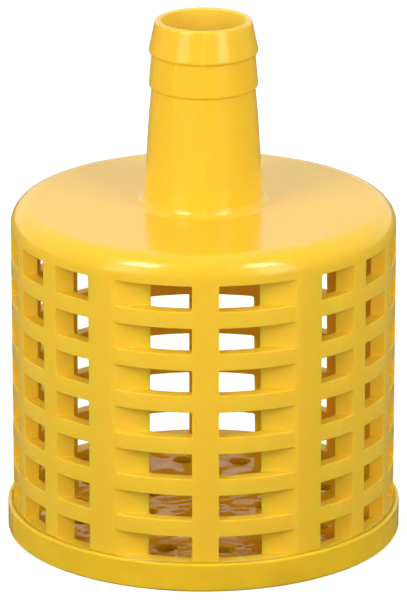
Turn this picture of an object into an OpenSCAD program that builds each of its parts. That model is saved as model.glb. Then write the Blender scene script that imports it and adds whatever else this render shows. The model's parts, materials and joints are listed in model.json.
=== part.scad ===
// Foot valve for a suction hose: barbed hose tail, windowed strainer basket and a
// spring-loaded poppet check valve hung inside the neck.
// The origin is the centre of the base, +Z is up along the axis of the hose tail.
// The mould parting plane is x = 0, and the windows are cored along X.

/* [Strainer basket] */
// Outside diameter of the basket wall
basket_d = 96; // [78:1:120]
// Thickness of the basket wall at its top
wall_t = 3.5; // [2.5:0.1:4.5]
// Growth of the inside radius down to the foot of the wall, so that the core pulls out
core_draft = 0.25; // [0.1:0.05:0.8]
// Height of the flat top of the basket above the resting plane
shoulder_z = 85; // [70:0.5:105]
// Thickness of the flat top
top_t = 3.5; // [2.5:0.1:5]
// Radius of the rounded edge between the top and the wall
edge_r = 5.5; // [4.6:0.1:9]

/* [Windows] */
// Height of one window
window_h = 6.5; // [4:0.1:9]
// Height of the solid land between two rows of windows
land_h = 4.21; // [3:0.01:7]
// Solid band from the flat top down to the first row of windows
top_band = 6.95; // [6:0.05:12]
// Width of the ribs on the parting plane, front and back
parting_rib_w = 6.5; // [4:0.1:9]
// Width of the side ribs
side_rib_w = 3.9; // [2.5:0.1:5]
// Angles of the side ribs, measured from the X axis, on each quarter of the wall
side_rib_angles = [18.9, 37.5, 57.8]; // [10:0.1:62]

/* [Base cap] */
// Radial thickness of the rim outside the basket wall
rim_t = 1.4; // [1:0.1:3]
// Height of the rim above the resting plane; the windows stay above it
rim_h = 7.2; // [6.2:0.1:10]
// Height of the upper face of the perforated floor
floor_z = 4.8; // [4:0.1:5.5]
// Thickness of the perforated floor
floor_t = 2.5; // [1.5:0.1:3]
// Diameter of the holes in the floor
floor_hole_d = 5.5; // [3:0.1:7]
// Distance from the inside of the wall in to the outer ring of floor holes
outer_ring_inset = 11.8; // [5:0.1:14]
// Number of holes in the outer ring
outer_ring_n = 14; // [8:1:18]
// Radius of the inner ring of floor holes
inner_ring_r = 15.5; // [12:0.1:20]
// Number of holes in the inner ring
inner_ring_n = 7; // [4:1:9]
// Angle of the first floor hole from the X axis
floor_hole_turn = -4.4; // [-20:0.1:20]

/* [Hose tail] */
// Length of the hose tail above the flat top
tail_len = 46.6; // [42:0.1:70]
// Water bore through the hose tail
bore_d = 21; // [16:0.1:32]
// Wall of the hose tail at its open end
tip_wall = 1.6; // [1.2:0.1:2]
// Wall of the hose tail between the barbs
valley_wall = 2.3; // [2:0.1:2.5]
// Height of a barb's crest above the valleys
barb_h = 0.7; // [0.5:0.05:0.9]
// Distance from one barb to the next
barb_pitch = 8.5; // [7:0.1:12]
// Distance from the open end down to the first crest
first_crest = 7.6; // [6:0.1:10]
// Radius of the rounded crests
crest_r = 0.8; // [0.75:0.05:1.5]
// Wall of the neck where it meets the flat top
root_wall = 2.95; // [2.4:0.05:4]
// Radius of the fillet round the foot of the neck
root_fillet = 2.4; // [1:0.05:3]

/* [Check valve] */
// Width of the step between the water bore and the wider valve chamber below it
step_w = 1.3; // [1:0.05:1.6]
// Height of the valve chamber above the flat top
chamber_h = 15; // [12:0.1:20]
// Depth of the valve housing below the inside of the top
housing_h = 7; // [5.8:0.1:9]
// Gap round the poppet disc, where the water passes it
flow_gap = 2.2; // [1.5:0.1:3]
// How far the rim of the poppet disc reaches over the orifice
seat_overlap = 1.85; // [1.6:0.05:2.5]
// Thickness of the rubber seal
seal_t = 1.8; // [1.2:0.1:2.5]
// Diameter of the stem
stem_d = 4; // [3:0.1:5]
// Lift of the poppet from closed to fully open
lift = 5.5; // [4:0.1:6.6]
// Wire of the closing spring
spring_wire = 0.8; // [0.5:0.05:1]
// Working turns of the closing spring
spring_turns = 5; // [3:1:6]

/* [Fixings] */
// Number of screws that hold the seat
screw_n = 4; // [3:1:6]
// Outside diameter of the screw thread
screw_d = 3; // [2.5:0.1:3.6]
// Length of a screw under its head
screw_len = 9; // [7:0.5:9.5]
// Wall of the stem nut, from the stem to its flats
nut_wall = 1.5; // [1.2:0.1:1.8]
// Height of the stem nut
nut_h = 2.6; // [2.2:0.1:3.2]

/* [Clearances] */
// Radial clearance of the stem in its two guides
stem_clear = 0.06; // [0.02:0.01:0.1]
// Radial clearance between pieces that are pushed together and stay so
push_clear = 0.05; // [0.02:0.01:0.2]
// Gap left at a stop when the poppet is fully open
stop_gap = 0.1; // [0.05:0.05:0.5]

/* [Hidden] */
$fn = 96;

// Overrun of a cut past the faces that it goes through
cut = 1;

// Basket
basket_r = basket_d / 2;
inner_r = basket_r - wall_t;
inner_round = edge_r - wall_t;
ceiling_z = shoulder_z - top_t;
draft_h = ceiling_z - inner_round - floor_z;
row_pitch = window_h + land_h;
window_rows = floor((shoulder_z - top_band - rim_h + land_h) / row_pitch);
rib_span = basket_d + 2 * cut;

// Base cap
rim_inner_r = basket_r + push_clear;
outer_ring_r = inner_r - outer_ring_inset;
rim_r = rim_inner_r + rim_t;
rim_round = 0.6;
foot_w = 3;
snap_r = 0.35;
snap_ring_r = rim_inner_r + 0.15;
snap_z = (floor_z + rim_h) / 2;

// Hose tail
tail_z = shoulder_z + tail_len;
bore_r = bore_d / 2;
tip_r = bore_r + tip_wall;
valley_r = bore_r + valley_wall;
chamber_r = bore_r + step_w;
root_r = chamber_r + root_wall;
lip_r = tip_wall / 2;
barb_n = 2;
crest_ring_r = valley_r + barb_h - crest_r;
crest_drop = sqrt(pow(crest_r, 2) - pow(crest_r - barb_h, 2));
shank_z = tail_z - first_crest - (barb_n - 1) * barb_pitch - crest_drop;
shank_taper_h = 7.2;
shank_r = valley_r + barb_h - 0.05;
seam_w = 0.6;
seam_h = 0.1;

// Valve chamber, and the housing that carries the seat
step_z = shoulder_z + chamber_h;
seat_z = ceiling_z - housing_h;
housing_r = chamber_r + 3.2;
pillar_r = screw_d / 2 + 2.1;
screw_ring_r = housing_r + screw_d / 2 + 0.8;
screw_turn = 45;

// Valve seat
disc_r = chamber_r - flow_gap;
orifice_r = disc_r - seat_overlap;
flange_t = 3;
spigot_h = 0.8;
lip_h = 1.5;
lip_w = 1.2;
throat_r = orifice_r + 2.2;
throat_z = seat_z - flange_t - 4;
seat_spoke_n = 4;
seat_spoke_w = 1.8;
seat_spoke_h = 3;
gasket_w = 1.8;
gasket_t = 1.2;
gasket_inner_r = (chamber_r + housing_r - gasket_w) / 2;
gasket_outer_r = gasket_inner_r + gasket_w;
sealing_z = seat_z + lip_h;

// Screws
screw_r = screw_d / 2;
screw_z = seat_z - flange_t;
screw_tip_z = screw_z + screw_len - screw_r;
head_r = screw_d * 0.93;
head_h = screw_d * 0.53;
head_round = head_h * 0.45;
recess_w = screw_d * 0.27;
recess_h = head_h * 0.6;
pilot_h = screw_len - flange_t + 1;

// Poppet, from the rubber seal up
stem_r = stem_d / 2;
fitted_r = stem_r + push_clear;
disc_z = sealing_z + seal_t;
disc_t = 2.5;
disc_top_z = disc_z + disc_t;
disc_round = 0.5;
boss_r = stem_r + 1.75;
seal_r = disc_r - 0.2;
sleeve_r = stem_r + 1.3;
collar_r = stem_r + 1.4;
collar_t = 1.4;

// Upper guide, which stops the collar of the stem at full lift
guide_z = step_z - 3.5;
guide_top_z = step_z + 1;
guide_hub_r = collar_r + 0.2;
guide_hub_z = guide_z - 0.6;
guide_spoke_n = 3;
guide_spoke_w = 1.8;
guide_spoke_h = 2.4;
collar_z = guide_hub_z - stop_gap - lift - collar_t;

// Poppet, from the rubber seal down
plate_r = orifice_r - 0.95;
plate_t = 1.2;
plate_z = sealing_z - plate_t;
nut_af = stem_d + 2 * nut_wall;
washer_r = nut_af / 2 - 0.2;
washer_t = 0.6;
washer_gap = 0.7;
washer_z = plate_z - washer_t;
nut_z = washer_z - nut_h;
nut_corner_r = nut_af / 2 / cos(30);

// Lower guide
sliding_r = stem_r + stem_clear;
bush_r = sliding_r + 1;
bush_flange_t = 0.4;
hub_r = bush_r + 1.1;
hub_top_z = nut_z - 0.3 - bush_flange_t;
hub_z = hub_top_z - 6.4;

// Stem ends
stem_low_z = hub_z - lift - 1.5;
stem_top_z = guide_top_z - 0.5;
stem_chamfer = 0.4;

// Closing spring
coil_r = guide_hub_r + 0.25 + spring_wire / 2;
coil_rise = guide_z - disc_top_z - spring_wire;
dead_pitch = spring_wire * 1.05;
live_pitch = (coil_rise - 2 * dead_pitch) / spring_turns;
all_turns = spring_turns + 2;
coil_steps = 24;
wire_sides = 8;

// Point where the line from p touches the circle round c, on the side of larger radius
function touch_point(p, c, r) =
    let (
        d = c - p,
        turn = atan2(d.y, d.x) + asin(r / norm(d))
    )
    p + sqrt(d * d - r * r) * [cos(turn), sin(turn)];

// Height of the spring's wire above its first turn, t turns along
function coil_height(t) =
    t < 1 ? dead_pitch * t
    : t > all_turns - 1 ? coil_rise - dead_pitch * (all_turns - t)
    : dead_pitch + live_pitch * (t - 1);

module ring_of(n, r, turn = 0) {
    for (i = [0 : n - 1]) rotate([0, 0, turn + i * 360 / n]) translate([r, 0, 0]) children();
}

module at_screws() {
    ring_of(screw_n, screw_ring_r, screw_turn) children();
}

module disc(r, z_low, z_high) {
    translate([0, 0, z_low]) cylinder(r = r, h = z_high - z_low);
}

module tube(r_out, r_in, z_low, z_high) {
    difference() {
        disc(r_out, z_low, z_high);
        disc(r_in, z_low - cut, z_high + cut);
    }
}

// Ring of round section
module torus(ring_r, section_r, z) {
    translate([0, 0, z]) rotate_extrude() translate([ring_r, 0]) circle(r = section_r);
}

// Spokes from a hub to a ring, each sunk a little into both
module spokes(n, w, r_hub, r_ring, z_low, z_high) {
    sink = 0.4;
    ring_of(n, r_hub - sink)
        translate([0, -w / 2, z_low]) cube([r_ring - r_hub + 2 * sink, w, z_high - z_low]);
}

// Disc with a rounded upper edge, in the (r, z) plane
module dome_outline(r, z_low, z_high, round_r) {
    translate([0, z_low]) square([r, z_high - round_r - z_low]);
    translate([0, z_low]) square([r - round_r, z_high - z_low]);
    translate([r - round_r, z_high - round_r]) circle(r = round_r);
}

// One barb in the (r, z) plane, straight from its narrow upper end to its round crest
module barb_outline(top_r, top_z, crest_z, grow) {
    p = [top_r + grow, top_z];
    c = [crest_ring_r + grow, crest_z];
    low_z = crest_z - crest_drop;
    polygon([[0, top_z], p, touch_point(p, c, crest_r), c, [c.x, low_z], [0, low_z]]);
    translate(c) circle(r = crest_r);
}

// Outside of the hose tail in the (r, z) plane; grow is added to every radius
module tail_outline(grow = 0) {
    dome_r = tip_r + grow;
    translate([0, tail_z - 2 * lip_r]) dome_outline(dome_r, 0, 2 * lip_r, lip_r);
    for (i = [0 : barb_n - 1]) {
        crest_z = tail_z - first_crest - i * barb_pitch;
        top_r = i == 0 ? tip_r : valley_r;
        top_z = i == 0 ? tail_z - lip_r : crest_z + barb_pitch - crest_drop;
        barb_outline(top_r, top_z, crest_z, grow);
    }
    polygon([
        [0, ceiling_z],
        [root_r + grow, ceiling_z],
        [root_r + grow, shoulder_z + root_fillet],
        [shank_r + grow, shank_z - shank_taper_h],
        [valley_r + grow, shank_z],
        [0, shank_z]
    ]);
    fillet_r = root_r + root_fillet + grow;
    difference() {
        translate([0, shoulder_z - cut]) square([fillet_r, root_fillet + cut]);
        translate([fillet_r, shoulder_z + root_fillet]) circle(r = root_fillet);
    }
}

// Ridge that the two halves of the mould leave down the front and back of the hose tail
module mould_seam() {
    for (turn = [0, 180]) {
        rotate([0, 0, turn]) translate([-seam_w / 2, 0, 0])
            rotate([90, 0, 90]) linear_extrude(seam_w) tail_outline(seam_h);
    }
}

// Everything that the windows take away: one disc a row, less the ribs
module window_cut() {
    low_z = shoulder_z - top_band - (window_rows - 1) * row_pitch - window_h;
    difference() {
        for (i = [0 : window_rows - 1]) {
            z = low_z + i * row_pitch;
            disc(basket_r + cut, z, z + window_h);
        }
        translate([-parting_rib_w / 2, -rib_span / 2, 0]) cube([parting_rib_w, rib_span, shoulder_z]);
        translate([-rib_span / 2, -side_rib_w / 2, 0]) cube([rib_span, side_rib_w, shoulder_z]);
        for (angle = side_rib_angles, side = [-1, 1]) {
            y = side * basket_r * sin(angle);
            translate([-rib_span / 2, y - side_rib_w / 2, 0]) cube([rib_span, side_rib_w, shoulder_z]);
        }
    }
}

module strainer_body() {
    color("gold") difference() {
        union() {
            difference() {
                rotate_extrude() dome_outline(basket_r, floor_z, shoulder_z, edge_r);
                rotate_extrude() dome_outline(inner_r, floor_z - cut, ceiling_z, inner_round);
                translate([0, 0, floor_z])
                    cylinder(r1 = inner_r + core_draft, r2 = inner_r, h = draft_h);
                window_cut();
                torus(snap_ring_r, snap_r + push_clear, snap_z);
            }
            rotate_extrude() tail_outline();
            mould_seam();
            disc(housing_r, seat_z, shoulder_z - cut);
            at_screws() disc(pillar_r, seat_z, shoulder_z - cut);
        }
        disc(bore_r, seat_z - cut, tail_z + cut);
        disc(chamber_r, seat_z - cut, step_z);
        at_screws() disc(screw_r + push_clear, seat_z - cut, seat_z + pilot_h);
    }
}

module base_cap() {
    color("goldenrod") difference() {
        rotate_extrude() difference() {
            union() {
                dome_outline(rim_r, rim_round, rim_h, rim_round);
                square([rim_r - rim_round, rim_h]);
                translate([rim_r - rim_round, rim_round]) circle(r = rim_round);
            }
            translate([0, floor_z]) square([rim_inner_r, rim_h]);
            translate([0, -cut]) square([rim_r - foot_w, floor_z - floor_t + cut]);
        }
        ring_of(outer_ring_n, outer_ring_r, floor_hole_turn) disc(floor_hole_d / 2, 0, rim_h);
        ring_of(inner_ring_n, inner_ring_r, floor_hole_turn) disc(floor_hole_d / 2, 0, rim_h);
    }
    color("goldenrod") intersection() {
        torus(snap_ring_r, snap_r, snap_z);
        disc(rim_r - rim_t / 2, 0, rim_h);
    }
}

module valve_seat() {
    color("ivory") difference() {
        union() {
            disc(housing_r, seat_z - flange_t, seat_z);
            at_screws() disc(pillar_r, seat_z - flange_t, seat_z);
            disc(throat_r, throat_z, seat_z);
            disc(chamber_r - push_clear, seat_z - cut, seat_z + spigot_h);
            disc(orifice_r + lip_w, seat_z, sealing_z - lip_w / 2);
            torus(orifice_r + lip_w / 2, lip_w / 2, sealing_z - lip_w / 2);
        }
        disc(orifice_r, throat_z - cut, sealing_z + cut);
        tube(gasket_outer_r + push_clear, gasket_inner_r - push_clear, seat_z - gasket_t, seat_z + cut);
        at_screws() disc(screw_r + push_clear, seat_z - flange_t - cut, seat_z + cut);
    }
    color("ivory") difference() {
        union() {
            disc(hub_r, hub_z, hub_top_z);
            spokes(seat_spoke_n, seat_spoke_w, hub_r, orifice_r, throat_z, throat_z + seat_spoke_h);
        }
        disc(bush_r + push_clear, hub_z - cut, hub_top_z + cut);
    }
}

module seat_gasket() {
    color("dimgray") tube(gasket_outer_r, gasket_inner_r, seat_z - gasket_t, seat_z);
}

module seat_screw() {
    difference() {
        union() {
            disc(screw_r, screw_z - cut / 2, screw_tip_z);
            translate([0, 0, screw_tip_z]) cylinder(r1 = screw_r, r2 = screw_r / 2, h = screw_r);
            mirror([0, 0, 1])
                rotate_extrude() dome_outline(head_r, -screw_z, head_h - screw_z, head_round);
        }
        for (turn = [0, 90]) {
            rotate([0, 0, turn])
                translate([-screw_r, -recess_w / 2, screw_z - head_h - cut])
                    cube([screw_d, recess_w, recess_h + cut]);
        }
    }
}

module seat_screws() {
    color("silver") ring_of(screw_n, screw_ring_r, screw_turn) seat_screw();
}

module stem_bush() {
    color("peru") difference() {
        union() {
            disc(bush_r, hub_z, hub_top_z + bush_flange_t);
            disc(hub_r - 0.2, hub_top_z, hub_top_z + bush_flange_t);
        }
        disc(sliding_r, hub_z - cut, hub_top_z + cut);
    }
}

module upper_guide() {
    color("ivory") difference() {
        union() {
            tube(chamber_r - push_clear, bore_r, guide_z, step_z);
            disc(guide_hub_r, guide_hub_z, guide_top_z);
            spokes(guide_spoke_n, guide_spoke_w, guide_hub_r, bore_r, guide_z, guide_z + guide_spoke_h);
        }
        disc(sliding_r, guide_z - chamber_h, guide_top_z + cut);
    }
}

module poppet_disc() {
    color("whitesmoke") difference() {
        union() {
            rotate_extrude() dome_outline(disc_r, disc_z, disc_top_z, disc_round);
            disc(sleeve_r, disc_z, collar_z);
            disc(boss_r, sealing_z, disc_top_z);
        }
        disc(fitted_r, sealing_z - cut, collar_z + cut);
    }
}

module poppet_stem() {
    color("silver") {
        disc(stem_r, stem_low_z + stem_chamfer, stem_top_z - stem_chamfer);
        disc(collar_r, collar_z, collar_z + collar_t);
        translate([0, 0, stem_low_z])
            cylinder(r1 = stem_r - stem_chamfer, r2 = stem_r, h = stem_chamfer);
        translate([0, 0, stem_top_z - stem_chamfer])
            cylinder(r1 = stem_r, r2 = stem_r - stem_chamfer, h = stem_chamfer);
    }
}

module poppet_seal() {
    color("dimgray") tube(seal_r, boss_r + push_clear, sealing_z, disc_z);
}

module seal_plate() {
    color("silver") tube(plate_r, fitted_r, plate_z, sealing_z);
}

module lock_washer() {
    color("silver") difference() {
        tube(washer_r, fitted_r, washer_z, plate_z);
        translate([0, -washer_gap / 2, washer_z - cut])
            cube([washer_r + cut, washer_gap, washer_t + 2 * cut]);
    }
}

module stem_nut() {
    chamfer_z = nut_z + (nut_corner_r - nut_af / 2) / 2;
    color("silver") difference() {
        intersection() {
            translate([0, 0, nut_z]) cylinder(r = nut_corner_r, h = nut_h, $fn = 6);
            rotate_extrude() polygon([
                [0, nut_z],
                [nut_af / 2, nut_z],
                [nut_corner_r, chamfer_z],
                [nut_corner_r, washer_z],
                [0, washer_z]
            ]);
        }
        disc(fitted_r, nut_z - cut, washer_z + cut);
    }
}

// The wire is swept along the coil, ring by ring, and closed at both ends
module closing_spring() {
    rings = all_turns * coil_steps;
    wire_r = spring_wire / 2;
    points = [
        for (i = [0 : rings], j = [0 : wire_sides - 1])
            let (
                turn = 360 * i / coil_steps,
                around = 360 * j / wire_sides,
                r = coil_r + wire_r * cos(around),
                z = disc_top_z + wire_r + coil_height(i / coil_steps) + wire_r * sin(around)
            )
            [r * cos(turn), r * sin(turn), z]
    ];
    sides = [
        for (i = [0 : rings - 1], j = [0 : wire_sides - 1])
            let (
                a = i * wire_sides + j,
                b = i * wire_sides + (j + 1) % wire_sides
            )
            [a, b, b + wire_sides, a + wire_sides]
    ];
    first_end = [for (j = [0 : wire_sides - 1]) wire_sides - 1 - j];
    last_end = [for (j = [0 : wire_sides - 1]) rings * wire_sides + j];
    color("lightsteelblue") polyhedron(points, concat(sides, [first_end, last_end]), convexity = 8);
}

strainer_body();
base_cap();
valve_seat();
seat_gasket();
seat_screws();
stem_bush();
upper_guide();
poppet_disc();
poppet_stem();
poppet_seal();
seal_plate();
lock_washer();
stem_nut();
closing_spring();
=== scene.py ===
"""Foot valve for a suction hose, dressed for a studio render.

The object is one yellow moulding with a barbed hose tail, a flat top and a basket wall with rows of
windows, closed below by a perforated base cap. A sprung poppet valve hangs inside, under the tail.
Everything is in metres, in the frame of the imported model: +Z up, the base on z = 0, the mould
parting plane on x = 0.
"""

import json
import logging
import math
from dataclasses import dataclass, field
from enum import Enum
from typing import Iterable

import bmesh
import bpy
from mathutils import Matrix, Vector


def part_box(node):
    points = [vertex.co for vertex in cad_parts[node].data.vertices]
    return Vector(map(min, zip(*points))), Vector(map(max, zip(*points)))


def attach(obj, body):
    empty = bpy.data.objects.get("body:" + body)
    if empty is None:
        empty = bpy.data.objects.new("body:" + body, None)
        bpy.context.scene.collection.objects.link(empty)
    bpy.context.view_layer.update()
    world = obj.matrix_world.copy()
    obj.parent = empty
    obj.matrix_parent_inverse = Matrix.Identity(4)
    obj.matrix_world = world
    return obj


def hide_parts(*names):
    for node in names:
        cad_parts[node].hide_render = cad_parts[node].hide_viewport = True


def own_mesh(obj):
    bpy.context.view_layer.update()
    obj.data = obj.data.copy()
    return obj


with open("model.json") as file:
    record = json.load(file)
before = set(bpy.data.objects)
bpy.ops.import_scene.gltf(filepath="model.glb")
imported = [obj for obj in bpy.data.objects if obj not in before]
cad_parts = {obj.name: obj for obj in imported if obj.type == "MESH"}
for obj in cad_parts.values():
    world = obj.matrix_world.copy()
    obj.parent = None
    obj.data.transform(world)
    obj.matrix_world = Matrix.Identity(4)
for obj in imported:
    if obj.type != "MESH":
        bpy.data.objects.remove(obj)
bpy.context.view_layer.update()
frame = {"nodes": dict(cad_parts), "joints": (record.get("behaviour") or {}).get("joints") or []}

LOG = logging.getLogger("foot_valve")
MM = 0.001
NOISE_LOW, NOISE_HIGH = 0.25, 0.75
SCATTER = (1.0, 0.45, 0.08)
FLOW_STRETCH = (1.0, 1.0, 0.35)
LINE_STRETCH = (0.02, 0.02, 1.0)
NUMBER_SOCKET = "NodeSocketFloat"

Colour = tuple[float, float, float]
Place = tuple[float, float]
Mesh = bmesh.types.BMesh
Vertex = bmesh.types.BMVert
Ring = list[Vertex]
Corner = tuple[Vertex, Vertex]
Piece = bpy.types.Object
Material = bpy.types.Material
Node = bpy.types.Node
Group = bpy.types.NodeTree
Output = bpy.types.NodeSocket


class Body(Enum):
    """Rigid body that the rebuilt pieces ride. The valve's CAD pieces keep their own."""

    HOUSING = "housing"


class Slot(Enum):
    """Material slots of the record."""

    YELLOW_PLASTIC = "yellow_plastic"
    BASE_PLASTIC = "base_plastic"
    INNER_PLASTIC = "inner_plastic"
    STAINLESS = "stainless"
    BUSH_BRASS = "bush_brass"
    SEAL_RUBBER = "seal_rubber"


class Lane(Enum):
    """Which set of column angles a station of the body's outline uses."""

    WALL_OUTSIDE = "wall_outside"
    WALL_INSIDE = "wall_inside"
    TAIL = "tail"


class Skin(Enum):
    """Which side of the mould a face of the body came off, as the index of its material."""

    OUTSIDE = 0
    CORE_SIDE = 1
    BORE = 2


# ---------------------------------------------------------------------------
# Shared shader effects
# ---------------------------------------------------------------------------


@dataclass
class Effect:
    """A shader node group under construction. Its inputs and outputs are numbers.

    Attributes:
        name: Name of the group.
        inputs: Input names with their default numbers.
        outputs: Output names.
    """

    name: str
    inputs: dict[str, float]
    outputs: tuple[str, ...]
    tree: Group = field(init=False)
    entry: Node = field(init=False)
    exit: Node = field(init=False)

    def __post_init__(self) -> None:
        """Makes the empty group with its sockets."""
        self.tree = bpy.data.node_groups.new(self.name, "ShaderNodeTree")
        for name, default in self.inputs.items():
            self.add_socket(name, "INPUT").default_value = default
        for name in self.outputs:
            self.add_socket(name, "OUTPUT")
        self.entry = self.tree.nodes.new("NodeGroupInput")
        self.exit = self.tree.nodes.new("NodeGroupOutput")

    def add_socket(self, name: str, side: str) -> bpy.types.NodeTreeInterfaceSocket:
        """Adds a socket to the group's INPUT or OUTPUT side."""
        return self.tree.interface.new_socket(name=name, in_out=side, socket_type=NUMBER_SOCKET)

    def node(self, kind: str, **settings: object) -> Node:
        """Adds a node to the group, as add_node does."""
        return add_node(self.tree, kind, **settings)

    def link(self, source: Output, target: Output) -> None:
        """Links two sockets of the group."""
        self.tree.links.new(source, target)


def add_node(tree: Group, kind: str, **settings: object) -> Node:
    """Adds a node to a tree, sets its attributes and returns it."""
    node = tree.nodes.new(kind)
    for name, value in settings.items():
        setattr(node, name, value)
    return node


def set_inputs(node: Node, **values: float | Colour) -> None:
    """Sets constants on a node's inputs, whose names have underscores for spaces."""
    for name, value in values.items():
        node.inputs[name.replace("_", " ")].default_value = value


def scaled_noise(effect: Effect, place: Output, scale_input: str, detail: float) -> Output:
    """Adds a noise whose scale, in features per metre, is one of the group's inputs."""
    texture = effect.node("ShaderNodeTexNoise")
    set_inputs(texture, Detail=detail)
    effect.link(place, texture.inputs["Vector"])
    effect.link(effect.entry.outputs[scale_input], texture.inputs["Scale"])
    return texture.outputs["Fac"]


def build_moulded_skin() -> Group:
    """Builds a moulding's skin: flow Shade, Gloss patches, sink Wave and Peel, each 0 to 1."""
    effect = Effect(
        "moulded_skin",
        {"Flow Scale": 45.0, "Gloss Scale": 160.0, "Wave Scale": 60.0, "Peel Scale": 1100.0},
        ("Shade", "Gloss", "Wave", "Peel"),
    )
    place = effect.node("ShaderNodeTexCoord").outputs["Object"]
    stretch = effect.node("ShaderNodeMapping")
    set_inputs(stretch, Scale=FLOW_STRETCH)
    effect.link(place, stretch.inputs["Vector"])
    for output, source, scale_input, detail in (
        ("Shade", stretch.outputs["Vector"], "Flow Scale", 3.0),
        ("Gloss", place, "Gloss Scale", 4.0),
        ("Wave", place, "Wave Scale", 1.0),
        ("Peel", place, "Peel Scale", 2.0),
    ):
        effect.link(scaled_noise(effect, source, scale_input, detail), effect.exit.inputs[output])
    return effect.tree


def build_edge_highlight() -> Group:
    """Builds the Mask of the convex edges, broken up by a noise: where a highlight is painted on.
    """
    inputs = {"Edge Start": 0.505, "Edge Full": 0.56, "Break Scale": 320.0}
    effect = Effect("edge_wear", inputs, ("Mask",))
    shape = effect.node("ShaderNodeNewGeometry")
    edge = effect.node("ShaderNodeMapRange", clamp=True)
    effect.link(shape.outputs["Pointiness"], edge.inputs["Value"])
    effect.link(effect.entry.outputs["Edge Start"], edge.inputs["From Min"])
    effect.link(effect.entry.outputs["Edge Full"], edge.inputs["From Max"])
    place = effect.node("ShaderNodeTexCoord").outputs["Object"]
    broken = scaled_noise(effect, place, "Break Scale", 5.0)
    spread = effect.node("ShaderNodeMapRange", clamp=True)
    set_inputs(spread, From_Min=0.38, From_Max=0.62, To_Min=0.35)
    effect.link(broken, spread.inputs["Value"])
    both = effect.node("ShaderNodeMath", operation="MULTIPLY")
    effect.link(edge.outputs["Result"], both.inputs[0])
    effect.link(spread.outputs["Result"], both.inputs[1])
    effect.link(both.outputs["Value"], effect.exit.inputs["Mask"])
    return effect.tree


def build_turned_lines() -> Group:
    """Builds the rings that turning leaves across the valve's axis: Lines and Tone, each 0 to 1."""
    inputs = {"Line Scale": 5200.0, "Tone Scale": 420.0}
    effect = Effect("turned_lines", inputs, ("Lines", "Tone"))
    place = effect.node("ShaderNodeTexCoord").outputs["Object"]
    flat = effect.node("ShaderNodeMapping")
    set_inputs(flat, Scale=LINE_STRETCH)
    effect.link(place, flat.inputs["Vector"])
    lines = scaled_noise(effect, flat.outputs["Vector"], "Line Scale", 2.0)
    effect.link(lines, effect.exit.inputs["Lines"])
    tone = scaled_noise(effect, place, "Tone Scale", 3.0)
    effect.link(tone, effect.exit.inputs["Tone"])
    return effect.tree


@dataclass(frozen=True)
class Effects:
    """The shared effects, each built once."""

    moulded_skin: Group
    edge_wear: Group
    turned_lines: Group

    @classmethod
    def build(cls) -> "Effects":
        """Builds all the shared effects."""
        return cls(build_moulded_skin(), build_edge_highlight(), build_turned_lines())


# ---------------------------------------------------------------------------
# Finishes
# ---------------------------------------------------------------------------


@dataclass
class Shader:
    """One material's node tree, with the calls that every finish needs."""

    name: str
    material: Material = field(init=False)
    surface: Node = field(init=False)

    def __post_init__(self) -> None:
        """Makes the material and finds its Principled shader."""
        self.material = bpy.data.materials.new(self.name)
        self.material.use_nodes = True
        self.surface = self.material.node_tree.nodes["Principled BSDF"]

    def place(self, group: Group, **values: float) -> Node:
        """Places a shared effect in the material, sets its inputs and returns its node."""
        node = add_node(self.material.node_tree, "ShaderNodeGroup", node_tree=group)
        set_inputs(node, **values)
        return node

    def link(self, source: Output, target: Output) -> None:
        """Links two sockets of the material."""
        self.material.node_tree.links.new(source, target)

    def feed(self, name: str, source: Output) -> None:
        """Links a socket to an input of the surface."""
        self.link(source, self.surface.inputs[name])

    def spread(self, mask: Output, low: float, high: float) -> Output:
        """Turns a noise into a number that runs from low to high."""
        node = add_node(self.material.node_tree, "ShaderNodeMapRange", clamp=True)
        set_inputs(node, From_Min=NOISE_LOW, From_Max=NOISE_HIGH, To_Min=low, To_Max=high)
        self.link(mask, node.inputs["Value"])
        return node.outputs["Result"]

    def mix(self, mask: Output, first: Output | Colour, second: Colour) -> Output:
        """Mixes two colours by the share of the second; the first can be a socket with a colour."""
        node = add_node(self.material.node_tree, "ShaderNodeMix", data_type="RGBA")
        self.link(mask, node.inputs["Factor"])
        if isinstance(first, Output):
            self.link(first, node.inputs["A"])
        else:
            node.inputs["A"].default_value = (*first, 1.0)
        node.inputs["B"].default_value = (*second, 1.0)
        return node.outputs["Result"]

    def mottle(self, noise: Output, first: Colour, second: Colour) -> Output:
        """Mixes two colours by a noise, each pure at one end of it."""
        return self.mix(self.spread(noise, 0.0, 1.0), first, second)

    def bump(self, height: Output, depth: float) -> None:
        """Adds a bump, with its depth in metres, on top of any bump that the surface has."""
        node = add_node(self.material.node_tree, "ShaderNodeBump")
        set_inputs(node, Strength=1.0, Distance=depth)
        self.link(height, node.inputs["Height"])
        before = self.surface.inputs["Normal"].links
        if before:
            self.link(before[0].from_socket, node.inputs["Normal"])
        self.feed("Normal", node.outputs["Normal"])

    def set(self, **values: float | Colour) -> None:
        """Sets constants on the surface's inputs, as set_inputs does."""
        set_inputs(self.surface, **values)


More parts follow.
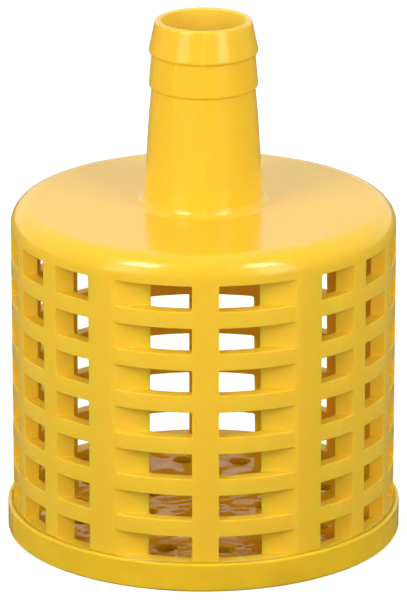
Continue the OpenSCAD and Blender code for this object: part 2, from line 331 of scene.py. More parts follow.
@dataclass(frozen=True)
class MouldedPlastic:
    """Injection-moulded plastic.

    Attributes:
        name: Name of the material.
        colour: The plastic's colour.
        deep: Its colour where the melt flowed last.
        edge: Its colour along the convex edges, a painted highlight.
        smooth: Lowest and highest roughness.
        wave: Depth of the slow sink waves in metres.
        peel: Depth of the orange peel in metres.
        wave_scale: Sink waves per metre.
        shine: Level of its mirror reflection, 0.5 for plain plastic.
        glow: Share of the light that scatters inside the wall.
        depth: How far red light scatters, in metres.
    """

    name: str
    colour: Colour
    deep: Colour
    edge: Colour
    smooth: tuple[float, float]
    wave: float = 0.01 * MM
    peel: float = 0.0004 * MM
    wave_scale: float = 60.0
    shine: float = 0.5
    glow: float = 0.60
    depth: float = 3.0 * MM

    def build(self, effects: Effects) -> Material:
        """Builds the material from the shared effects."""
        shader = Shader(self.name)
        skin = shader.place(effects.moulded_skin, Wave_Scale=self.wave_scale)
        edge_glint = shader.place(effects.edge_wear)
        body = shader.mottle(skin.outputs["Shade"], self.colour, self.deep)
        # The convex edges are mixed towards a lighter colour: a painted highlight.
        shader.feed("Base Color", shader.mix(edge_glint.outputs["Mask"], body, self.edge))
        shader.feed("Roughness", shader.spread(skin.outputs["Gloss"], *self.smooth))
        shader.bump(skin.outputs["Wave"], self.wave)
        shader.bump(skin.outputs["Peel"], self.peel)
        shader.set(IOR=1.5, Specular_IOR_Level=self.shine)
        shader.set(Subsurface_Weight=self.glow, Subsurface_Scale=self.depth)
        shader.set(Subsurface_Radius=SCATTER)
        return shader.material


@dataclass(frozen=True)
class Metal:
    """Turned or drawn metal.

    Attributes:
        name: Name of the material.
        colour: Its colour.
        dull: Its colour in the duller patches.
        smooth: Lowest and highest roughness.
        lines: Depth of the turning lines in metres.
        edge_highlight_gain: How much brighter its convex edges are, as a painted highlight.
    """

    name: str
    colour: Colour
    dull: Colour
    smooth: tuple[float, float]
    lines: float = 0.004 * MM
    edge_highlight_gain: float = 1.2

    def build(self, effects: Effects) -> Material:
        """Builds the material from the shared effects."""
        shader = Shader(self.name)
        turned = shader.place(effects.turned_lines)
        edge_glint = shader.place(effects.edge_wear)
        body = shader.mottle(turned.outputs["Tone"], self.colour, self.dull)
        # Its convex edges are lightened: a painted highlight.
        highlight_colour = tuple(min(1.0, self.edge_highlight_gain * c) for c in self.colour)
        shader.feed("Base Color", shader.mix(edge_glint.outputs["Mask"], body, highlight_colour))
        shader.feed("Roughness", shader.spread(turned.outputs["Lines"], *self.smooth))
        shader.bump(turned.outputs["Lines"], self.lines)
        shader.set(Metallic=1.0)
        return shader.material


@dataclass(frozen=True)
class Rubber:
    """Black seal rubber with a faint bloom.

    Attributes:
        name: Name of the material.
        colour: Its colour.
        bloom: Its colour where the bloom is thickest.
        smooth: Lowest and highest roughness.
        peel: Depth of its skin's grain in metres.
    """

    name: str
    colour: Colour
    bloom: Colour
    smooth: tuple[float, float]
    peel: float = 0.01 * MM

    def build(self, effects: Effects) -> Material:
        """Builds the material from the shared effects."""
        shader = Shader(self.name)
        scales = {"Flow_Scale": 260.0, "Gloss_Scale": 700.0, "Peel_Scale": 2600.0}
        skin = shader.place(effects.moulded_skin, **scales)
        shader.feed("Base Color", shader.mottle(skin.outputs["Shade"], self.colour, self.bloom))
        shader.feed("Roughness", shader.spread(skin.outputs["Gloss"], *self.smooth))
        shader.bump(skin.outputs["Peel"], self.peel)
        shader.set(Specular_IOR_Level=0.35)
        return shader.material


@dataclass(frozen=True)
class PaleFloor:
    """Pale studio floor that throws little light back up.

    Attributes:
        name: Name of the material.
        colour: Its colour.
        mottle: Its colour in the slightly duller patches.
        bounce: Share of the light that it sends back to the object.
        lift: Brightness that the lit sheet adds for the camera alone.
    """

    name: str = "studio_floor"
    colour: Colour = (1.0, 1.0, 1.0)
    mottle: Colour = (0.97, 0.97, 0.97)
    bounce: float = 0.22
    lift: float = 0.35

    def build(self, effects: Effects) -> Material:
        """Builds the material from the shared effects."""
        shader = Shader(self.name)
        skin = shader.place(effects.moulded_skin, Flow_Scale=6.0)
        pale = shader.mottle(skin.outputs["Shade"], self.colour, self.mottle)
        rays = add_node(shader.material.node_tree, "ShaderNodeLightPath")
        other = add_node(shader.material.node_tree, "ShaderNodeMath", operation="SUBTRACT")
        other.inputs[0].default_value = 1.0
        shader.link(rays.outputs["Is Camera Ray"], other.inputs[1])
        shader.feed("Base Color", shader.mix(other.outputs["Value"], pale, (self.bounce,) * 3))
        lift = shader.mix(other.outputs["Value"], self.mottle, (0.0, 0.0, 0.0))
        shader.feed("Emission Color", lift)
        shader.set(Roughness=0.9, Specular_IOR_Level=0.0, Emission_Strength=self.lift)
        return shader.material


BODY_INSIDES = {
    # The core side is rougher, its duller mould finish, and its yellow is a little browner: painted
    # shade for the insides of the wall and windows.
    Skin.CORE_SIDE: MouldedPlastic(
        "yellow_plastic_core_side_shaded",
        (0.94, 0.590, 0.022),
        (0.925, 0.570, 0.020),
        (0.97, 0.64, 0.035),
        (0.45, 0.60),
    ),
    # The bore's yellow is lighter than the outside's: painted light that brightens the deep bore of
    # the same moulding.
    Skin.BORE: MouldedPlastic(
        "yellow_plastic_bore_painted_light",
        (0.98, 0.680, 0.070),
        (0.97, 0.660, 0.065),
        (0.98, 0.70, 0.080),
        (0.35, 0.50),
    ),
}

FINISHES = {
    Slot.YELLOW_PLASTIC: MouldedPlastic(
        "yellow_plastic",
        (0.94, 0.590, 0.031),
        (0.925, 0.570, 0.029),
        (0.97, 0.64, 0.044),
        (0.13, 0.22),
    ),
    Slot.BASE_PLASTIC: MouldedPlastic(
        "base_plastic",
        (0.94, 0.560, 0.024),
        (0.92, 0.540, 0.022),
        (0.96, 0.61, 0.034),
        (0.03, 0.06),
        wave=1.2 * MM,
        wave_scale=105.0,
        shine=0.13,
    ),
    Slot.INNER_PLASTIC: MouldedPlastic(
        "inner_plastic", (0.78, 0.75, 0.66), (0.72, 0.69, 0.60), (0.86, 0.84, 0.76), (0.34, 0.48)
    ),
    Slot.STAINLESS: Metal("stainless", (0.60, 0.59, 0.57), (0.50, 0.49, 0.48), (0.22, 0.42)),
    Slot.BUSH_BRASS: Metal("bush_brass", (0.78, 0.55, 0.24), (0.66, 0.44, 0.18), (0.24, 0.40)),
    Slot.SEAL_RUBBER: Rubber(
        "seal_rubber", (0.012, 0.012, 0.013), (0.030, 0.030, 0.031), (0.55, 0.75)
    ),
}


# ---------------------------------------------------------------------------
# Mesh helpers
# ---------------------------------------------------------------------------


def arc(centre: Place, radius: float, start: float, stop: float, steps: int) -> list[Place]:
    """Returns the points of an arc, both ends included.

    Args:
        centre: Centre of the arc in the (r, z) plane.
        radius: Its radius.
        start: Angle of its first point in degrees.
        stop: Angle of its last point in degrees.
        steps: Number of chords.
    """
    points = []
    for i in range(steps + 1):
        angle = math.radians(start + (stop - start) * i / steps)
        points.append((centre[0] + radius * math.cos(angle), centre[1] + radius * math.sin(angle)))
    return points


def touch_angle(point: Place, centre: Place, radius: float) -> float:
    """Returns where a line from a point touches a circle, on the side away from the axis.

    Args:
        point: Point outside the circle, in the (r, z) plane.
        centre: Centre of the circle.
        radius: Radius of the circle.

    Returns:
        Angle of the touching point, seen from the centre, in degrees.
    """
    across = centre[0] - point[0]
    along = centre[1] - point[1]
    lean = math.degrees(math.asin(radius / math.hypot(across, along)))
    return math.degrees(math.atan2(along, across)) + lean + 90.0


def polar(radius: float, angle: float, height: float) -> Vector:
    """Returns the point at a radius, an angle in degrees and a height."""
    turn = math.radians(angle)
    return Vector((radius * math.cos(turn), radius * math.sin(turn), height))


def lay_object(name: str, mesh: Mesh, smooth_angle: float = 32.0) -> Piece:
    """Turns a bmesh into an object of the scene, smooth between its sharp edges, and frees it."""
    data = bpy.data.meshes.new(name)
    mesh.to_mesh(data)
    mesh.free()
    for polygon in data.polygons:
        polygon.use_smooth = True
    data.set_sharp_from_angle(angle=math.radians(smooth_angle))
    piece = bpy.data.objects.new(name, data)
    bpy.context.scene.collection.objects.link(piece)
    return piece


def weigh_edges(mesh: Mesh, share: float, full: Iterable[Corner] = (), angle: float = 30.0) -> None:
    """Turns the faces outwards and says how widely each sharp edge is rounded.

    Args:
        share: Share of the full rounding that sharp edges get.
        full: Ends of the edges that get the full rounding.
        angle: Edges sharper than this many degrees are rounded.
    """
    bmesh.ops.recalc_face_normals(mesh, faces=mesh.faces)
    layer = mesh.edges.layers.float.new("bevel_weight_edge")
    limit = math.radians(angle)
    for edge in mesh.edges:
        if edge.is_manifold and edge.calc_face_angle() > limit:
            edge[layer] = share
    for first, second in full:
        edge = mesh.edges.get((first, second))
        if edge is not None:
            edge[layer] = 1.0


def soften_edges(piece: Piece, width: float, segments: int = 3) -> None:
    """Rounds a piece's weighted edges, as a mould does, to a full width in metres."""
    bevel = piece.modifiers.new("moulded_edges", "BEVEL")
    bevel.width = width
    bevel.segments = segments
    bevel.limit_method = "WEIGHT"
    bevel.use_clamp_overlap = False
    shading = piece.modifiers.new("even_shading", "WEIGHTED_NORMAL")
    shading.keep_sharp = False
    shading.weight = 60


def bridge(mesh: Mesh, first: Ring, second: Ring) -> None:
    """Joins two rings with the same number of vertices with quads."""
    for i in range(len(first)):
        j = (i + 1) % len(first)
        mesh.faces.new((first[i], first[j], second[j], second[i]))


def dress(piece: Piece, slot: Slot, materials: dict[Slot, Material]) -> None:
    """Gives a piece the material of a slot, in place of any that it had."""
    if piece.data.materials:
        piece.data.materials.clear()
    piece.data.materials.append(materials[slot])


# ---------------------------------------------------------------------------
# Strainer body
# ---------------------------------------------------------------------------


@dataclass(frozen=True)
class Station:
    """One ring of the body's outline.

    Attributes:
        r: Radius in metres.
        z: Height in metres.
        lane: Which column angles the ring uses.
        ridge: Share of the mould seam's height that the ring carries.
        window_row: Row whose lower or upper edge this ring is, or -1.
        is_head: Whether it is the upper edge of that row.
    """

    r: float
    z: float
    lane: Lane
    ridge: float = 0.0
    window_row: int = -1
    is_head: bool = False


@dataclass(frozen=True)
class Column:
    """One column of the body's mesh.

    Attributes:
        mark: Rib edge that it follows.
        share: How far it is on the way to the next rib edge.
        tail: Its angle on the hose tail, in degrees.
        rise: Share of the mould seam's height that it carries.
        window: Whether a window follows it.
        is_edge: Whether it lies on a rib edge.
    """

    mark: int
    share: float
    tail: float
    rise: float
    window: bool
    is_edge: bool


# Mould seam across the parting rib: place from -1 to 1, and share of the seam's height
SEAM_PROFILE: tuple[Place, ...] = (
    (-1.0, 0.0),
    (-0.7, 0.0),
    (-0.4, 0.0),
    (-0.16, 1.0),
    (0.0, 1.0),
    (0.16, 1.0),
    (0.4, 0.0),
    (0.7, 0.0),
    (1.0, 0.0),
)


@dataclass
class StrainerBody:
    """The one-piece moulding: hose tail, flat top, windowed wall and valve housing.

    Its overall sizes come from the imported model, and the rest are fields.
    """

    wall: float = 3.5 * MM
    core_draft: float = 0.25 * MM
    top: float = 3.5 * MM
    edge_round: float = 5.5 * MM
    tail_length: float = 46.6 * MM
    window_height: float = 6.5 * MM
    land_height: float = 4.21 * MM
    top_band: float = 6.95 * MM
    window_rows: int = 7
    parting_rib: float = 6.5 * MM
    side_rib: float = 3.9 * MM
    side_rib_angles: tuple[float, ...] = (18.9, 37.5, 57.8)
    bore: float = 10.5 * MM
    tip_wall: float = 1.6 * MM
    valley_wall: float = 2.3 * MM
    barb_height: float = 0.7 * MM
    barb_pitch: float = 8.5 * MM
    first_crest: float = 7.6 * MM
    crest_round: float = 0.8 * MM
    shank_taper: float = 7.2 * MM
    step: float = 1.3 * MM
    root_wall: float = 2.95 * MM
    root_fillet: float = 2.4 * MM
    chamber_height: float = 15.0 * MM
    housing_height: float = 7.0 * MM
    housing_wall: float = 3.2 * MM
    pillar_ring: float = 17.3 * MM
    pillar: float = 3.6 * MM
    pillar_hole: float = 1.55 * MM
    pillar_count: int = 4
    pillar_turn: float = 45.0
    pillar_sink: float = 1.0 * MM
    pillar_sides: int = 40
    seam_height: float = 0.09 * MM
    lip_inside: float = 0.4 * MM
    bore_reach: float = 0.3 * MM
    column_step: float = 1.6
    edge_steps: int = 12
    fillet_steps: int = 8
    lip_steps: int = 6
    inner_lip_steps: int = 4
    ceiling_steps: int = 6
    edge_soft: float = 0.15 * MM
    corner_round: float = 0.30 * MM
    outer: float = field(init=False)
    foot_z: float = field(init=False)
    tip_z: float = field(init=False)

    def __post_init__(self) -> None:
        """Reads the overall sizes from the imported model."""
        low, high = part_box("strainer_body")
        self.outer = high.x
        self.foot_z = low.z
        self.tip_z = high.z

    @property
    def shoulder_z(self) -> float:
        """Height of the flat top."""
        return self.tip_z - self.tail_length

    @property
    def ceiling_z(self) -> float:
        """Height of the underside of the flat top."""
        return self.shoulder_z - self.top

    @property
    def seat_z(self) -> float:
        """Height of the face that the valve seat is screwed to."""
        return self.ceiling_z - self.housing_height

    def inner_at(self, z: float) -> float:
        """Returns the inside radius of the wall, which the core's draft opens towards the foot."""
        full_z = self.ceiling_z - self.edge_round + self.wall
        share = (full_z - z) / (full_z - self.foot_z)
        return self.outer - self.wall + self.core_draft * min(1.0, max(0.0, share))

    def marks(self, radius: float) -> list[float]:
        """Returns the angle of every rib edge at a radius, in order round the wall.

        The windows are cored along X, so an edge of a side rib keeps its y through the wall, and an
        edge of a parting rib keeps its x.

        Args:
            radius: Radius of the surface that the edges are on.

        Returns:
            Angles in degrees. A window follows each even mark.
        """
        places = [self.side_rib / 2]
        for angle in self.side_rib_angles:
            middle = self.outer * math.sin(math.radians(angle))
            places += [middle - self.side_rib / 2, middle + self.side_rib / 2]
        quarter = [math.degrees(math.asin(y / radius)) for y in places]
        quarter.append(math.degrees(math.acos(self.parting_rib / 2 / radius)))
        marks = list(quarter)
        marks += [180.0 - a for a in reversed(quarter)]
        marks += [180.0 + a for a in quarter]
        marks += [360.0 - a for a in reversed(quarter)]
        return marks + [360.0 + quarter[0]]

    def columns(self) -> list[Column]:
        """Returns the columns of the mesh in order round the body."""
        marks = self.marks(self.outer)
        columns = []
        for i, (start, stop) in enumerate(zip(marks, marks[1:])):
            window = i % 2 == 0
            parting = not window and any(start < seam < stop for seam in (90.0, 270.0))
            steps = max(2, math.ceil((stop - start) / self.column_step))
            if parting:
                steps = len(SEAM_PROFILE) - 1
            for k in range(steps):
                share = k / steps
                place = (SEAM_PROFILE[k][0] + 1.0) / 2 if parting else share
                rise = SEAM_PROFILE[k][1] if parting else 0.0
                tail = start + (stop - start) * place
                columns.append(Column(i, share, tail, rise, window, k == 0))
        return columns

    def ring(self, mesh: Mesh, station: Station, columns: list[Column]) -> Ring:
        """Adds a station's ring to a bmesh, with one vertex for each column."""
        inside = station.lane is Lane.WALL_INSIDE
        marks = self.marks(self.inner_at(station.z) if inside else self.outer)
        ring = []
        for column in columns:
            start, stop = marks[column.mark], marks[column.mark + 1]
            angle = start + (stop - start) * column.share
            radius = station.r
            if station.lane is Lane.TAIL:
                angle = column.tail
                radius += station.ridge * column.rise * self.seam_height
            ring.append(mesh.verts.new(polar(radius, angle, station.z)))
        return ring

    def wall_marks(self) -> list[tuple[float, int, bool]]:
        """Returns the heights of every window edge from the foot up, with its row and side."""
        pitch = self.window_height + self.land_height
        rows_above = (self.window_rows - 1) * pitch
        lowest = self.shoulder_z - self.top_band - rows_above - self.window_height
        marks = []
        for row in range(self.window_rows):
            sill = lowest + row * pitch
            marks.append((sill, row, False))
            marks.append((sill + self.window_height, row, True))
        return marks

    def tail_outline(self) -> list[Place]:
        """Returns the outside of the hose tail from the flat top up to the open end."""
        root = self.bore + self.step + self.root_wall
        valley = self.bore + self.valley_wall
        tip = self.bore + self.tip_wall
        ring = valley + self.barb_height - self.crest_round
        drop = math.sqrt(self.crest_round**2 - (valley - ring) ** 2)
        lip = self.tip_wall / 2
        fillet = self.root_fillet
        centre = (root + fillet, self.shoulder_z + fillet)
        points = arc(centre, fillet, 270.0, 180.0, self.fillet_steps)
        crests = [self.tip_z - self.first_crest - i * self.barb_pitch for i in (1, 0)]
        shank_z = crests[0] - drop
        points.append((valley + self.barb_height, shank_z - self.shank_taper))
        for crest_z, top in zip(crests, ((valley, crests[1] - drop), (tip, self.tip_z - lip))):
            start = math.degrees(math.atan2(-drop, valley - ring))
            stop = touch_angle(top, (ring, crest_z), self.crest_round)
            points += arc((ring, crest_z), self.crest_round, start, stop, self.fillet_steps)
        points += arc((tip - lip, self.tip_z - lip), lip, 0.0, 90.0, self.lip_steps)
        inside = self.lip_inside
        corner = (self.bore + inside, self.tip_z - inside)
        return points + arc(corner, inside, 90.0, 180.0, self.inner_lip_steps)

    def stations(self) -> list[Station]:
        """Returns the body's whole outline as a closed loop of rings, from the outside foot up."""
        out, tail, within = Lane.WALL_OUTSIDE, Lane.TAIL, Lane.WALL_INSIDE
        marks = self.wall_marks()
        loop = [Station(self.outer, self.foot_z, out)]
        loop += [Station(self.outer, z, out, 0.0, row, head) for z, row, head in marks]
        shoulder = self.edge_round
        corner = (self.outer - shoulder, self.shoulder_z - shoulder)
        loop += [Station(r, z, out) for r, z in arc(corner, shoulder, 0.0, 90.0, self.edge_steps)]
        top_r = self.outer - shoulder
        neck_r = self.bore + self.step + self.root_wall + self.root_fillet
        for share in (0.25, 0.5, 0.75):
            loop.append(Station(top_r + (neck_r - top_r) * share, self.shoulder_z, out))
        outline = self.tail_outline()
        for i, (r, z) in enumerate(outline):
            on_bore = r <= self.bore + 0.5 * self.tip_wall
            ridge = 0.0 if i == 0 or on_bore else 1.0
            loop.append(Station(r, z, tail, ridge))
        chamber = self.bore + self.step
        step_z = self.shoulder_z + self.chamber_height
        housing = chamber + self.housing_wall
        for r, z in (
            (self.bore, step_z),
            (chamber, step_z),
            (chamber, self.seat_z),
            (housing, self.seat_z),
            (housing, self.ceiling_z),
        ):
            loop.append(Station(r, z, tail))
        round_in = self.edge_round - self.wall
        corner = (self.inner_at(self.ceiling_z) - round_in, self.ceiling_z - round_in)
        rounding = arc(corner, round_in, 90.0, 0.0, self.ceiling_steps)
        loop += [Station(r, z, within) for r, z in rounding]
        for z, row, head in reversed(marks):
            loop.append(Station(self.inner_at(z), z, within, 0.0, row, head))
        loop.append(Station(self.inner_at(self.foot_z), self.foot_z, within))
        return loop

    def skin_of(self, first: Station, second: Station) -> Skin:
        """Returns which side of the mould the band between two rings came off."""
        if first.lane is Lane.WALL_INSIDE:
            return Skin.CORE_SIDE
        in_bore = first.lane is Lane.TAIL and max(first.r, second.r) <= self.bore + self.bore_reach
        return Skin.BORE if in_bore else Skin.OUTSIDE

    def build_shell(self, mesh: Mesh) -> list[Corner]:
        """Adds the moulding with its windows open, and returns the ends of the windows' corners."""
        columns = self.columns()
        stations = self.stations()
        rings = [self.ring(mesh, station, columns) for station in stations]
        loop = list(zip(stations, rings))
        for (station, ring), (following, next_ring) in zip(loop, loop[1:] + loop[:1]):
            in_row = station.window_row >= 0 and station.window_row == following.window_row
            skin = self.skin_of(station, following).value
            for c, column in enumerate(columns):
                if in_row and column.window:
                    continue
                d = (c + 1) % len(columns)
                face = mesh.faces.new((ring[c], ring[d], next_ring[d], next_ring[c]))
                face.material_index = skin
        return self.line_windows(mesh, columns, stations, rings)

    def line_windows(
        self, mesh: Mesh, columns: list[Column], stations: list[Station], rings: list[Ring]
    ) -> list[Corner]:
        """Adds the windows' sills, heads and sides, and returns the ends of their corners."""
        edges: dict[tuple[int, bool, Lane], Ring] = {}
        for station, ring in zip(stations, rings):
            if station.window_row >= 0:
                edges[(station.window_row, station.is_head, station.lane)] = ring
        corners = []
        for row in range(self.window_rows):
            low_out, high_out = (edges[(row, head, Lane.WALL_OUTSIDE)] for head in (False, True))
            low_in, high_in = (edges[(row, head, Lane.WALL_INSIDE)] for head in (False, True))
            for c, column in enumerate(columns):
                d = (c + 1) % len(columns)
                quads = []
                if column.window:
                    quads.append((low_out[c], low_out[d], low_in[d], low_in[c]))
                    quads.append((high_out[c], high_out[d], high_in[d], high_in[c]))
                if column.is_edge:
                    quads.append((low_out[c], high_out[c], high_in[c], low_in[c]))
                    corners += [(low_out[c], low_in[c]), (high_out[c], high_in[c])]
                for quad in quads:
                    mesh.faces.new(quad).material_index = Skin.CORE_SIDE.value
        return corners

    def build_pillars(self, mesh: Mesh) -> None:
        """Adds the four screw pillars beside the valve housing to a bmesh."""
        turns = [360.0 * k / self.pillar_sides for k in range(self.pillar_sides)]
        top_z = self.ceiling_z + self.pillar_sink
        for i in range(self.pillar_count):
            angle = self.pillar_turn + 360.0 * i / self.pillar_count
            centre = polar(self.pillar_ring, angle, 0.0)
            rings = []
            for radius, z in (
                (self.pillar, self.seat_z),
                (self.pillar, top_z),
                (self.pillar_hole, top_z),
                (self.pillar_hole, self.seat_z),
            ):
                rings.append([mesh.verts.new(centre + polar(radius, turn, z)) for turn in turns])
            for first, second in zip(rings, rings[1:] + rings[:1]):
                bridge(mesh, first, second)

    def build(self) -> Piece:
        """Builds the moulding and puts it in the place of the CAD node."""
        mesh = bmesh.new()
        corners = self.build_shell(mesh)
        self.build_pillars(mesh)
        weigh_edges(mesh, self.edge_soft / self.corner_round, corners)
        piece = lay_object("strainer_body_moulding", mesh)
        soften_edges(piece, self.corner_round)
        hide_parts("strainer_body")
        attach(piece, Body.HOUSING.value)
        return piece


# ---------------------------------------------------------------------------
# Base cap
# ---------------------------------------------------------------------------


@dataclass
class BaseCap:
    """The dish that closes the basket: a low rim, a foot ring and a floor with its holes."""

    rim: float = 1.44 * MM
    foot: float = 3.0 * MM
    floor_top: float = 4.8 * MM
    floor: float = 2.5 * MM
    rim_round: float = 0.6 * MM
    hole: float = 2.75 * MM
    outer_ring: float = 32.7 * MM
    outer_count: int = 14
    inner_ring: float = 15.5 * MM
    inner_count: int = 7
    turn: float = -4.4
    cell_half: float = 5.8 * MM
    hub_inset: float = 3.0 * MM
    columns_per_cell: int = 16
    side_steps: int = 8
    rim_steps: int = 5
    edge_soft: float = 0.25 * MM
    outer: float = field(init=False)
    rim_z: float = field(init=False)

    def __post_init__(self) -> None:
        """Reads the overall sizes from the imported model."""
        _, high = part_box("base_cap")
        self.outer = high.x
        self.rim_z = high.z

    @property
    def column_count(self) -> int:
        """Number of columns round the cap."""
        return self.outer_count * self.columns_per_cell

    def angle(self, column: int) -> float:
        """Returns the angle of a column in degrees; column 0 is the edge of an outer cell."""
        return self.turn - 180.0 / self.outer_count + 360.0 * column / self.column_count

    def ring(self, mesh: Mesh, radius: float, z: float) -> Ring:
        """Adds a whole ring of vertices to a bmesh and returns it."""
        return [mesh.verts.new(polar(radius, self.angle(c), z)) for c in range(self.column_count)]

    def build_cells(
        self, mesh: Mesh, z: float, middle: float, cells: int, inner: Ring, outer: Ring
    ) -> list[Ring]:
        """Fills the band between two rings with cells, each with a round hole in its middle.

        Args:
            z: Height of the face.
            middle: Radius of the ring that the holes lie on.
            cells: Number of cells.
            inner: Vertices of the band's inner ring.
            outer: Vertices of its outer ring.

        Returns:
            The vertices round each hole.
        """
        width = self.column_count // cells
        shift = 0 if cells == self.outer_count else -self.columns_per_cell // 2
        shares = [i / self.side_steps for i in range(1, self.side_steps)]
        sides = []
        for k in range(cells):
            column = (k * width + shift) % self.column_count
            low, high = inner[column].co, outer[column].co
            sides.append([mesh.verts.new(low.lerp(high, share)) for share in shares])
        holes = []
        for k in range(cells):
            start = k * width + shift
            arc_columns = [(start + i) % self.column_count for i in range(width + 1)]
            edge = [inner[c] for c in arc_columns]
            edge += sides[(k + 1) % cells]
            edge += [outer[c] for c in reversed(arc_columns)]
            edge += list(reversed(sides[k]))
            centre = polar(middle, self.angle(start + width // 2), z)
            rim = []
            for vertex in edge:
                rim.append(mesh.verts.new(centre + self.hole * (vertex.co - centre).normalized()))
            bridge(mesh, edge, rim)
            holes.append(rim)
        return holes

    def build_face(self, mesh: Mesh, z: float, last_ring: Ring) -> list[Ring]:
        """Builds a face of the floor out to the given ring, and returns the rings of its holes."""
        radii = (
            self.inner_ring - self.cell_half,
            self.inner_ring + self.cell_half,
            self.outer_ring - self.cell_half,
            self.outer_ring + self.cell_half,
        )
        rings = [self.ring(mesh, radius, z) for radius in radii]
        hub = self.ring(mesh, self.inner_ring - self.cell_half - self.hub_inset, z)
        mesh.faces.new(hub)
        bridge(mesh, hub, rings[0])
        holes = self.build_cells(mesh, z, self.inner_ring, self.inner_count, rings[0], rings[1])
        bridge(mesh, rings[1], rings[2])
        holes += self.build_cells(mesh, z, self.outer_ring, self.outer_count, rings[2], rings[3])
        bridge(mesh, rings[3], last_ring)
        return holes

    def build(self) -> Piece:
        """Builds the cap and puts it in the place of the CAD node."""
        mesh = bmesh.new()
        wall_r = self.outer - self.rim
        top_round = self.rim_round
        outline = [(wall_r, self.floor_top), (wall_r, self.rim_z)]
        corner = (self.outer - top_round, self.rim_z - top_round)
        outline += arc(corner, top_round, 90.0, 0.0, self.rim_steps)
        corner = (self.outer - top_round, top_round)
        outline += arc(corner, top_round, 0.0, -90.0, self.rim_steps)
        foot_r = self.outer - self.foot
        outline += [(foot_r, 0.0), (foot_r, self.floor_top - self.floor)]
        rings = [self.ring(mesh, r, z) for r, z in outline]
        for first, second in zip(rings, rings[1:]):
            bridge(mesh, first, second)
        upper = self.build_face(mesh, self.floor_top, rings[0])
        lower = self.build_face(mesh, self.floor_top - self.floor, rings[-1])
        for above, below in zip(upper, lower):
            bridge(mesh, above, below)
        weigh_edges(mesh, 1.0)
        weights = mesh.edges.layers.float["bevel_weight_edge"]
        for edge in mesh.edges:
            if all(vertex in rings[1] for vertex in edge.verts):
                edge[weights] = 0.0
        piece = lay_object("base_cap_dish", mesh)
        soften_edges(piece, self.edge_soft)
        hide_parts("base_cap")
        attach(piece, Body.HOUSING.value)
        return piece


# ---------------------------------------------------------------------------
# Check valve
# ---------------------------------------------------------------------------


@dataclass
class ClosingSpring:
    """Compression spring between the poppet disc and the upper guide, with closed and ground ends.

    The pitch of its dead turns is given in wire diameters.
    """

    wire: float = 0.8 * MM
    turns: float = 7.0
    dead_turns: float = 1.0
    dead_pitch: float = 1.05
    steps: int = 48
    sides: int = 14
    lift: float = field(init=False)
    low_z: float = field(init=False)
    high_z: float = field(init=False)
    coil: float = field(init=False)

    def __post_init__(self) -> None:
        """Reads the place of the spring and the valve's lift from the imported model."""
        low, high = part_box("closing_spring")
        self.low_z = low.z
        self.high_z = high.z
        self.coil = high.x - self.wire / 2
        self.lift = max(abs(v) for j in frame["joints"] for v in j["range_m"])

    def height(self, turn: float) -> float:
        """Returns the height of the wire's middle after a number of turns."""
        rise = self.high_z - self.low_z - self.wire
        dead_pitch = self.dead_pitch * self.wire
        live_pitch = (rise - 2 * dead_pitch) / (self.turns - 2 * self.dead_turns)
        if turn < self.dead_turns:
            climbed = dead_pitch * turn
        elif turn > self.turns - self.dead_turns:
            climbed = rise - dead_pitch * (self.turns - turn)
        else:
            climbed = dead_pitch + live_pitch * (turn - self.dead_turns)
        return self.low_z + self.wire / 2 + climbed

    def build(self) -> Piece:
        """Builds the spring's coil between the heights of the CAD spring."""
        mesh = bmesh.new()
        rings = []
        total = int(self.turns * self.steps)
        for i in range(total + 1):
            turn = i / self.steps
            ring = []
            for k in range(self.sides):
                around = 2 * math.pi * k / self.sides
                radius = self.coil + self.wire / 2 * math.cos(around)
                z = self.height(turn) + self.wire / 2 * math.sin(around)
                z = min(max(z, self.low_z), self.high_z)
                ring.append(mesh.verts.new(polar(radius, 360.0 * turn, z)))
            rings.append(ring)
        for first, second in zip(rings, rings[1:]):
            bridge(mesh, first, second)
        mesh.faces.new(list(reversed(rings[0])))
        mesh.faces.new(rings[-1])
        bmesh.ops.recalc_face_normals(mesh, faces=mesh.faces)
        piece = lay_object("closing_spring_coil", mesh, smooth_angle=50.0)
        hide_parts("closing_spring")
        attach(piece, Body.HOUSING.value)
        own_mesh(piece)
        return piece


@dataclass
class CheckValve:
    """The sprung poppet valve inside the body: CAD pieces with their finishes, and the spring."""

    finishes: dict[str, Slot] = field(
        default_factory=lambda: {
            "valve_seat": Slot.INNER_PLASTIC,
            "upper_guide": Slot.INNER_PLASTIC,
            "poppet_disc": Slot.INNER_PLASTIC,
            "seat_gasket": Slot.SEAL_RUBBER,
            "poppet_seal": Slot.SEAL_RUBBER,
            "stem_bush": Slot.BUSH_BRASS,
            "seat_screws": Slot.STAINLESS,
            "poppet_stem": Slot.STAINLESS,
            "seal_plate": Slot.STAINLESS,
            "lock_washer": Slot.STAINLESS,
            "stem_nut": Slot.STAINLESS,
        }
    )

    def build(self, materials: dict[Slot, Material]) -> list[Piece]:
        """Dresses the CAD pieces of the valve and builds its spring."""
        pieces = []
        for name, slot in self.finishes.items():
            piece = frame["nodes"][name]
            dress(piece, slot, materials)
            pieces.append(piece)
        spring = ClosingSpring().build()
        dress(spring, Slot.STAINLESS, materials)
        pieces.append(spring)
        return pieces


# ---------------------------------------------------------------------------
# Studio
# ---------------------------------------------------------------------------


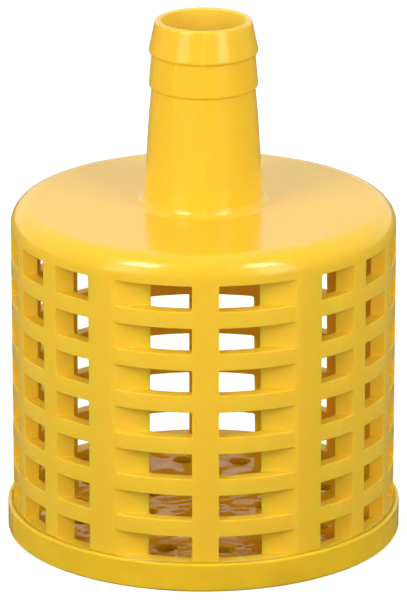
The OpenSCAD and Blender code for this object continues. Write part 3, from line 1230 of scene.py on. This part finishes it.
@dataclass(frozen=True)
class Softbox:
    """A soft area light that faces a target.

    Attributes:
        name: Name of the light.
        turn: Angle from the front, in degrees, positive to the right.
        distance: Distance from the object's axis in metres.
        low: Height of its lower edge.
        high: Height of its upper edge.
        width: Its width.
        power: Power in watts.
        is_highlight: Whether it only makes highlights; otherwise it only gives plain light.
    """

    name: str
    turn: float
    distance: float
    low: float
    high: float
    width: float
    power: float
    is_highlight: bool

    def build(self) -> None:
        """Builds the light, upright and facing the object's axis."""
        data = bpy.data.lights.new(self.name, "AREA")
        data.shape = "RECTANGLE"
        data.size = self.width
        data.size_y = self.high - self.low
        data.energy = self.power
        lamp = bpy.data.objects.new(self.name, data)
        angle = math.radians(self.turn)
        middle = (self.low + self.high) / 2
        lamp.location = (self.distance * math.sin(angle), -self.distance * math.cos(angle), middle)
        lamp.rotation_euler = (math.radians(90.0), 0.0, angle)
        lamp.visible_diffuse = not self.is_highlight
        lamp.visible_glossy = self.is_highlight
        lamp.visible_camera = False
        bpy.context.scene.collection.objects.link(lamp)


@dataclass
class Studio:
    """Plain pale floor, soft light all round and the camera."""

    camera_distance: float = 1.210
    camera_height: float = 0.4566
    camera_side: float = -0.0127
    pitch: float = 18.19
    lens: float = 305.4
    floor_size: float = 6.0
    front_sky: float = 0.22
    back_sky: float = 1.0
    sky_start: float = -0.4
    sky_full: float = 0.8
    softboxes: tuple[Softbox, ...] = (
        Softbox("strip_left", -45.0, 1.0, 0.80, 1.60, 0.44, 12.5, True),
        Softbox("strip_right", 42.0, 1.0, 0.80, 1.60, 0.40, 9.0, True),
        Softbox("skirt_left", -45.0, 1.0, 0.09, 0.70, 0.44, 1.6, True),
        Softbox("skirt_right", 42.0, 1.0, 0.09, 0.70, 0.38, 2.0, True),
        Softbox("fill_left", -48.0, 0.45, 0.06, 0.34, 0.34, 0.92, False),
        Softbox("fill_right", 46.0, 0.45, 0.06, 0.34, 0.34, 0.76, False),
        Softbox("key_left", -45.0, 0.8, 0.55, 0.95, 0.50, 4.4, False),
        Softbox("key_right", 42.0, 0.8, 0.55, 0.95, 0.50, 3.9, False),
    )

    def build(self, effects: Effects) -> None:
        """Builds the floor, the lights and the camera."""
        self.build_floor(effects)
        self.build_sky()
        for softbox in self.softboxes:
            softbox.build()
        self.build_camera()
        bpy.context.scene.view_settings.view_transform = "Standard"

    def build_floor(self, effects: Effects) -> None:
        """Builds the floor as a fine sheet whose far edges are out of sight."""
        mesh = bmesh.new()
        bmesh.ops.create_grid(mesh, x_segments=8, y_segments=8, size=self.floor_size / 2)
        floor = lay_object("studio_floor", mesh)
        floor.data.materials.append(PaleFloor().build(effects))

    def build_sky(self) -> None:
        """Lights the scene from all round, most from behind, where a studio's backdrop hangs."""
        world = bpy.data.worlds.new("studio_sky")
        world.use_nodes = True
        tree = world.node_tree
        direction = add_node(tree, "ShaderNodeTexCoord")
        split = add_node(tree, "ShaderNodeSeparateXYZ")
        blend = add_node(tree, "ShaderNodeMapRange", clamp=True)
        set_inputs(blend, From_Min=self.sky_start, From_Max=self.sky_full)
        set_inputs(blend, To_Min=self.front_sky, To_Max=self.back_sky)
        background = tree.nodes["Background"]
        background.inputs["Color"].default_value = (1.0, 1.0, 1.0, 1.0)
        tree.links.new(direction.outputs["Generated"], split.inputs["Vector"])
        tree.links.new(split.outputs["Y"], blend.inputs["Value"])
        tree.links.new(blend.outputs["Result"], background.inputs["Strength"])
        bpy.context.scene.world = world

    def build_camera(self) -> None:
        """Builds the camera, which looks down at the object's axis."""
        drop = math.tan(math.radians(self.pitch)) * self.camera_distance
        target = Vector((0.0, 0.0, self.camera_height - drop))
        data = bpy.data.cameras.new("studio_camera")
        data.lens = self.lens
        data.sensor_width = 36.0
        data.clip_start = 0.05
        data.clip_end = 20.0
        camera = bpy.data.objects.new("studio_camera", data)
        camera.location = (self.camera_side, -self.camera_distance, self.camera_height)
        camera.rotation_euler = (target - camera.location).to_track_quat("-Z", "Y").to_euler()
        bpy.context.scene.collection.objects.link(camera)
        bpy.context.scene.camera = camera


def report(pieces: Iterable[Piece]) -> None:
    """Logs each piece with its number of faces."""
    for piece in pieces:
        LOG.info("%s: %d faces before modifiers", piece.name, len(piece.data.polygons))


def main() -> None:
    """Builds the foot valve and the studio round it."""
    logging.basicConfig(level=logging.INFO, format="%(name)s: %(message)s")
    effects = Effects.build()
    materials = {slot: finish.build(effects) for slot, finish in FINISHES.items()}
    body = StrainerBody().build()
    dress(body, Slot.YELLOW_PLASTIC, materials)
    for finish in BODY_INSIDES.values():
        body.data.materials.append(finish.build(effects))
    cap = BaseCap().build()
    dress(cap, Slot.BASE_PLASTIC, materials)
    report([body, cap])
    report(CheckValve().build(materials))
    Studio().build(effects)


if __name__ == "__main__":
    main()
